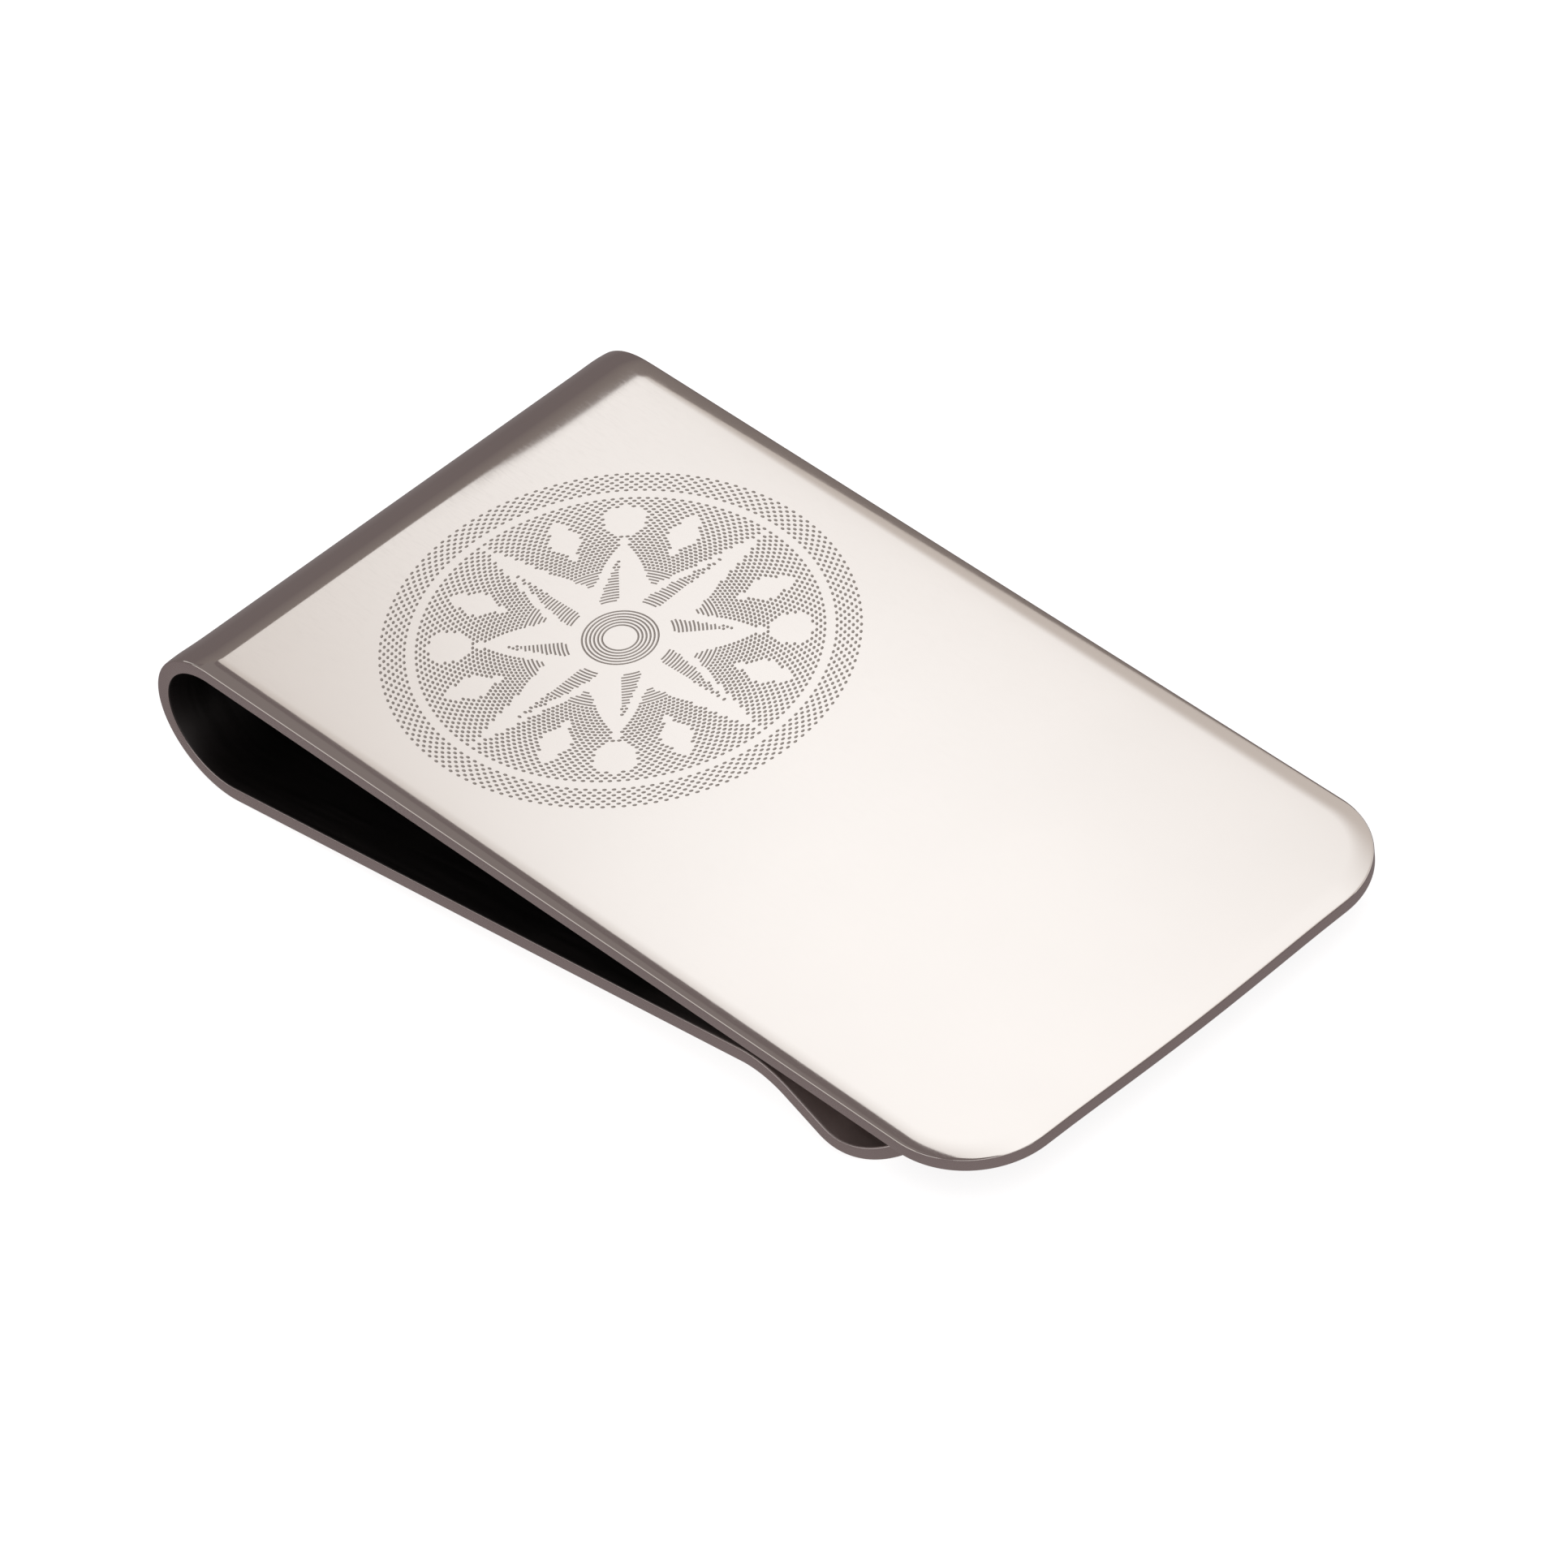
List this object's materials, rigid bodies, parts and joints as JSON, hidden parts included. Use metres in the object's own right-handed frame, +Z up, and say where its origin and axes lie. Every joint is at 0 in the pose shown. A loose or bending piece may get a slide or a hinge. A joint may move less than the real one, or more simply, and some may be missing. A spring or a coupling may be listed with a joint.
{
  "type": "money clip",
  "caption": "Folded spring-metal money clip: a long flat face plate with rounded corners and a sprung leg with a flared lip that closes against its back.",
  "frame": {"origin": "centre of the outline in X and Y, at the surface that the clip lies on", "axes": "+X along the clip from the bend to the plate's free end, +Y across the strip, +Z up out of the polished face plate, which falls 5.4 degrees towards its free end as the clip lies on its leg"},
  "size_m": [0.0492, 0.0254, 0.0073],
  "materials": {
    "polished_metal": "mirror polished, warm white nickel tone"
  },
  "bodies": {
    "spring_leg": {"bend_lower": "polished_metal", "clamp_leg": "polished_metal", "lift_lip": "polished_metal"},
    "front": {"face_plate": "polished_metal", "bend_upper": "polished_metal"}
  },
  "joints": [
    {"name": "bend_flex", "type": "hinge", "parent": "spring_leg", "child": "front", "pos_m": [-0.02456, 0, 0.00399], "axis": [0, -1, 0], "range_deg": [0, 8], "stiffness_Nm_per_rad": 6.1}
  ]
}
